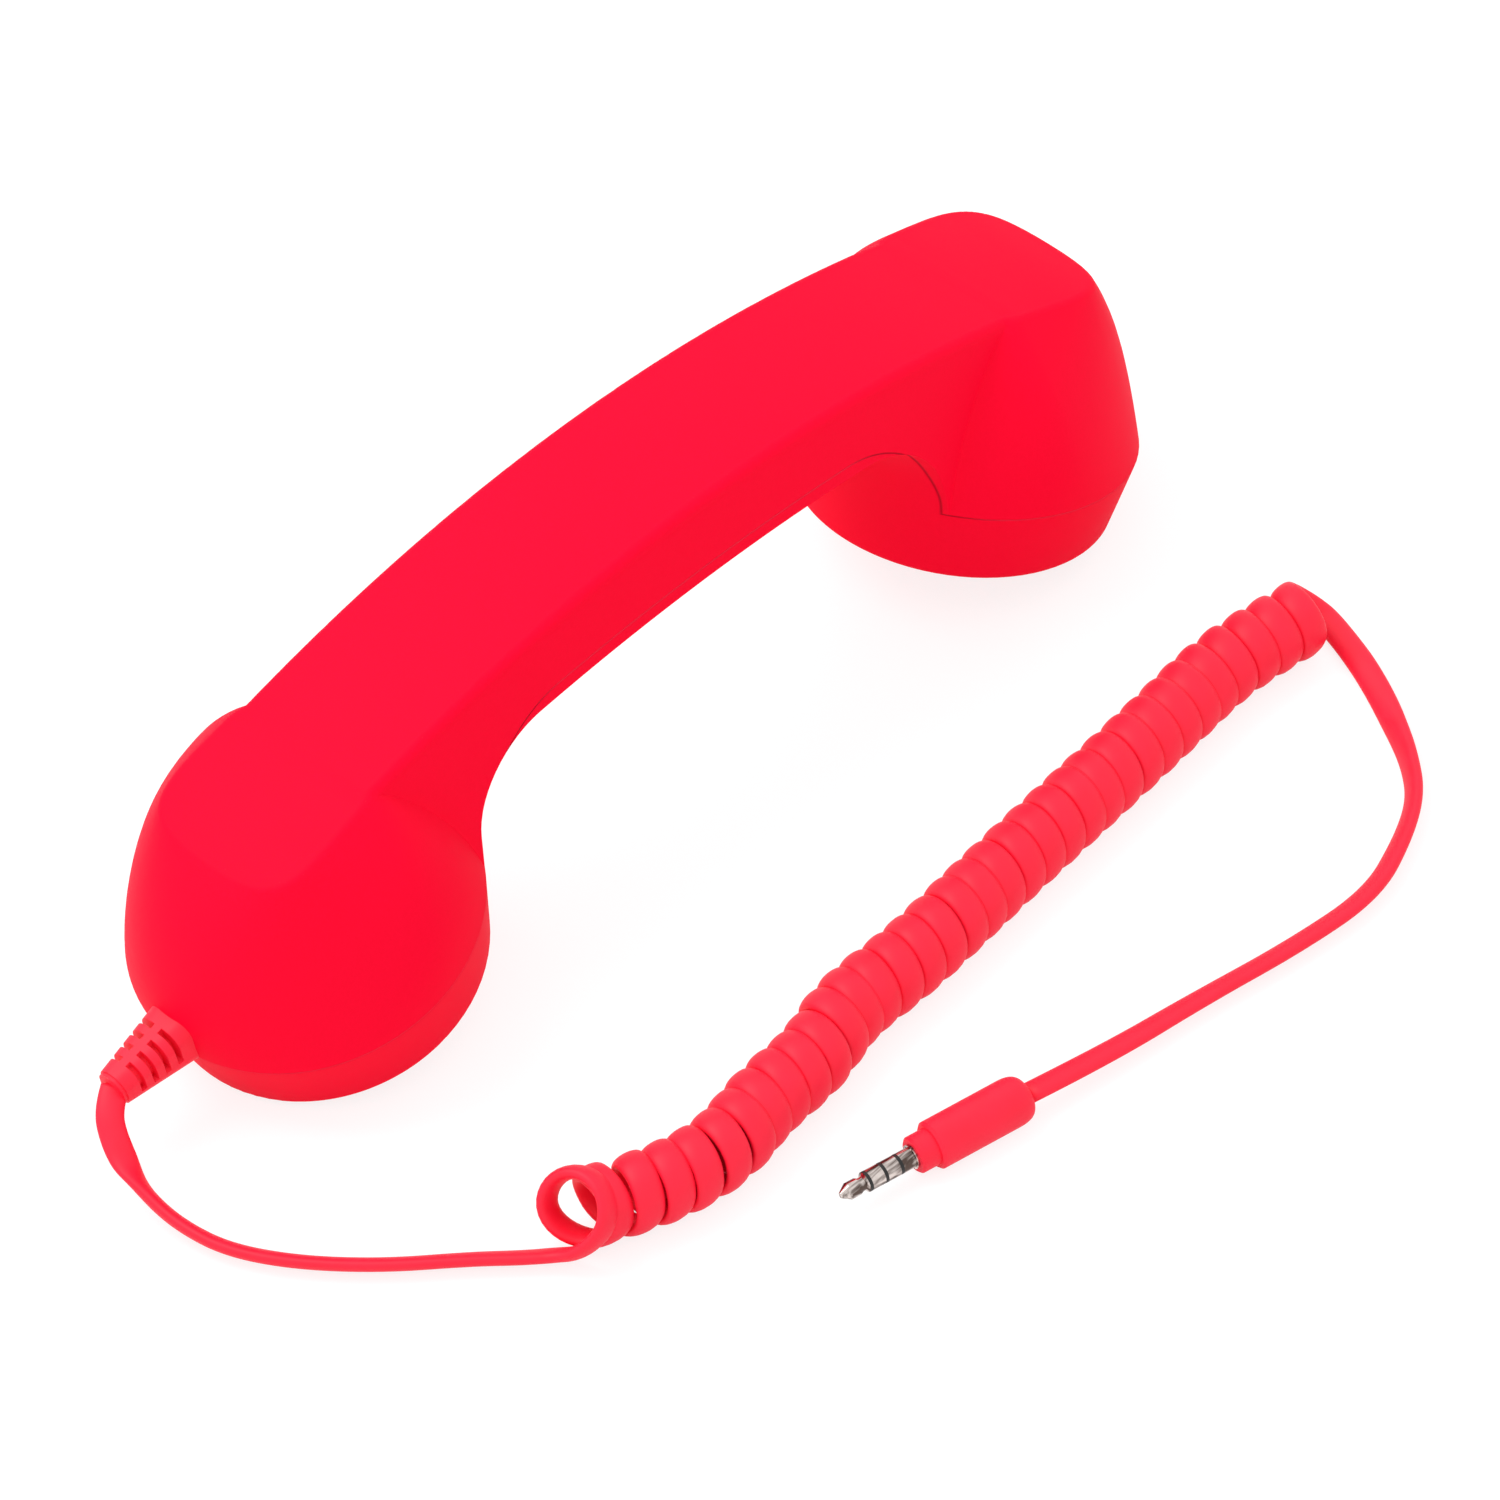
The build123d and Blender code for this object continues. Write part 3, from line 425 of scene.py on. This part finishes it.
# Painted reflections: darker streaks along the pin, which lies nearly along X.
drawn_out = add(nickel, "ShaderNodeMapping", Vector=place, Scale=(0.1, 1, 0.6)).outputs[0]
painted_reflection_streaks = add(nickel, "ShaderNodeTexNoise", Vector=drawn_out, Scale=1 / 0.0007, Detail=2.0).outputs["Fac"]
painted_reflection_share = add(nickel, "ShaderNodeMapRange", i0=painted_reflection_streaks, i1=0.4, i2=0.62).outputs[0]
plating = shader.inputs["Base Color"].links[0].from_socket
painted_dark_reflection = linear("#5B4C46")
plating_with_painted_reflections = add(nickel, "ShaderNodeMix", {"data_type": "RGBA"}, i0=painted_reflection_share, i6=painted_dark_reflection, i7=plating)
nickel.node_tree.links.new(plating_with_painted_reflections.outputs[2], shader.inputs["Base Color"])
nylon, shader, place, waver = finish_of("black nylon", "#0E0D0D", "#1C1A1A", 0.0006, (0.45, 0.55))
contacts = [
    smooth_copy(name, nickel)
    for name in ("plug_sleeve", "plug_ring_2", "plug_ring_1", "plug_tip")
]
insulation = smooth_copy("plug_insulation", nylon)


def dress(material, slot, *names):
    """Gives CAD pieces their finish."""
    for name in names:
        nodes[name].data.materials.clear()
        nodes[name].data.materials.append(material)


# Dust cloths
# Discs of woven black polyester behind the sound holes, glued to the caps. The threads are 0.4 mm apart.
cloth, shader, place, waver = finish_of("woven polyester", "#060606", "#141414", 0.003, (0.85, 0.95))
BANDS = 0.314             # spacing of a wave texture's bands where its scale is 1
threads = []
for way in ("X", "Y"):
    waves = add(cloth, "ShaderNodeTexWave", {"bands_direction": way}, Vector=place, Scale=BANDS / 0.0004)
    threads.append(waves.outputs["Fac"])
weave = add(cloth, "ShaderNodeMath", {"operation": "MAXIMUM"}, i0=threads[0], i1=threads[1]).outputs[0]
roughen(cloth, shader, weave, 0.0001, 0.6)
dress(cloth, "dust_cloth", "ear_cloth", "mouth_cloth")

# Screws
# Small pan-head screws of zinc-plated steel: dull silver, a little uneven where the plating is thin.
zinc, shader, place, waver = finish_of("zinc-plated steel", "#9A9B9E", "#C2C3C5", 0.0012, (0.28, 0.42), 1)
dress(zinc, "steel", "case_screws", "speaker_screws", "board_screws")

# Speaker
# A pressed steel basket, yoke and pole plate, a sintered ferrite magnet, a coil of enamelled copper wire,
# a clear film diaphragm, a rubber gasket and a nylon clamp ring that two screws hold down.
steel, shader, place, waver = finish_of("pressed steel", "#8E8F91", "#A9AAAC", 0.002, (0.3, 0.45), 1)
ferrite, shader, place, waver = finish_of("sintered ferrite", "#17171A", "#2A2A2D", 0.0008, (0.6, 0.8))
roughen(ferrite, shader, waver, 0.00006, 0.3)
copper, shader, place, waver = finish_of(
    "enamelled copper wire", "#9C4A22", "#C96F3A", 0.001, (0.25, 0.35), 1)
windings = add(copper, "ShaderNodeTexWave", {"bands_direction": "Z"}, Vector=place, Scale=BANDS / 0.0002)
roughen(copper, shader, windings.outputs["Fac"], 0.00006, 0.6)
film, shader, place, waver = finish_of("clear polyester film", "#C9C9BE", "#D8D8CE", 0.004, (0.12, 0.2))
rubber, shader, place, waver = finish_of("black rubber", "#0A0A0A", "#161616", 0.001, (0.7, 0.85))
abs_black, shader, place, waver = finish_of("black ABS", "#101011", "#1A1A1B", 0.0008, (0.5, 0.6))
dress(steel, "steel", "speaker_frame", "speaker_yoke", "speaker_pole_plate")
dress(ferrite, "ferrite", "speaker_magnet")
dress(copper, "copper", "speaker_voice_coil")
dress(film, "clear_film", "speaker_diaphragm")
dress(rubber, "black_rubber", "speaker_gasket")
dress(abs_black, "black_plastic", "speaker_clamp")

# Microphone
# An electret capsule in a drawn aluminium can, pushed into a moulded rubber boot.
can, shader, place, waver = finish_of("drawn aluminium", "#B9B9BC", "#CFCFD2", 0.0015, (0.25, 0.35), 1)
dress(can, "capsule_can", "mic_capsule")
dress(rubber, "black_rubber", "mic_boot")

# Switch and board behind the call button
# A tactile switch with a pale moulded body and plunger, soldered to a glass-epoxy board with a green
# solder mask that shows the weave of its glass.
nylon_pale, shader, place, waver = finish_of(
    "pale moulded nylon", "#D2D2CB", "#DEDED8", 0.001, (0.45, 0.55))
mask, shader, place, waver = finish_of(
    "solder mask on glass-epoxy", "#063D1C", "#0A5227", 0.0015, (0.2, 0.3))
glass = add(mask, "ShaderNodeTexWave", {"bands_direction": "Y"}, Vector=place, Scale=BANDS / 0.0005)
roughen(mask, shader, glass.outputs["Fac"], 0.00003, 0.3)
dress(nylon_pale, "switch_plastic", "switch_body", "switch_plunger")
dress(mask, "board", "button_board")

# Wires inside the handle
# Leads in a black PVC sleeve, laid along the handle's hollow.
sleeve, shader, place, waver = finish_of("black PVC sleeve", "#0C0C0D", "#19191A", 0.002, (0.4, 0.5))
dress(sleeve, "wire_sleeve", "speaker_leads", "mic_leads", "line_leads")

# Floor and light
# White paper under an even studio sky, with one soft lamp above and behind the handset. Seen
# directly or in a mirror the paper is nearly white, and it keeps the object's shadow.
bpy.ops.mesh.primitive_plane_add(size=8, location=(0, 0, -FLOOR_GAP))
floor = bpy.context.object
floor.name = "floor"
paper = bpy.data.materials.new("white paper")
paper.use_nodes = True
paper.node_tree.nodes.remove(paper.node_tree.nodes["Principled BSDF"])
rays = add(paper, "ShaderNodeLightPath").outputs
straight, mirrored = rays["Is Camera Ray"], rays["Is Glossy Ray"]
seen = add(paper, "ShaderNodeMath", {"operation": "MAXIMUM"}, i0=straight, i1=mirrored)
plain = add(paper, "ShaderNodeBsdfDiffuse", Color=linear("#E6E6E6"))
shaded = add(paper, "ShaderNodeBsdfDiffuse", Color=linear("#8E8E8E"))
glow = add(paper, "ShaderNodeEmission", Color=(1, 1, 1, 1), Strength=0.8)
bright = add(paper, "ShaderNodeAddShader", i0=shaded.outputs[0], i1=glow.outputs[0])
both = add(paper, "ShaderNodeMixShader", i0=seen.outputs[0], i1=plain.outputs[0], i2=bright.outputs[0])
paper.node_tree.links.new(both.outputs[0], paper.node_tree.nodes["Material Output"].inputs[0])
floor.data.materials.append(paper)

world = bpy.data.worlds.new("studio")
world.use_nodes = True
scene.world = world
sky = world.node_tree.nodes["Background"]
sky.inputs[0].default_value = (1, 1, 1, 1)
sky.inputs[1].default_value = 1.0

bpy.ops.object.light_add(type="AREA", location=(-0.28, 0.45, 0.92))
lamp = bpy.context.object
lamp.data.shape = "SQUARE"
lamp.data.size = 0.6
lamp.data.energy = 5.0
lamp.rotation_euler = (Vector((0, 0, 0.03)) - lamp.location).to_track_quat("-Z", "Y").to_euler()

scene.view_settings.view_transform = "Standard"
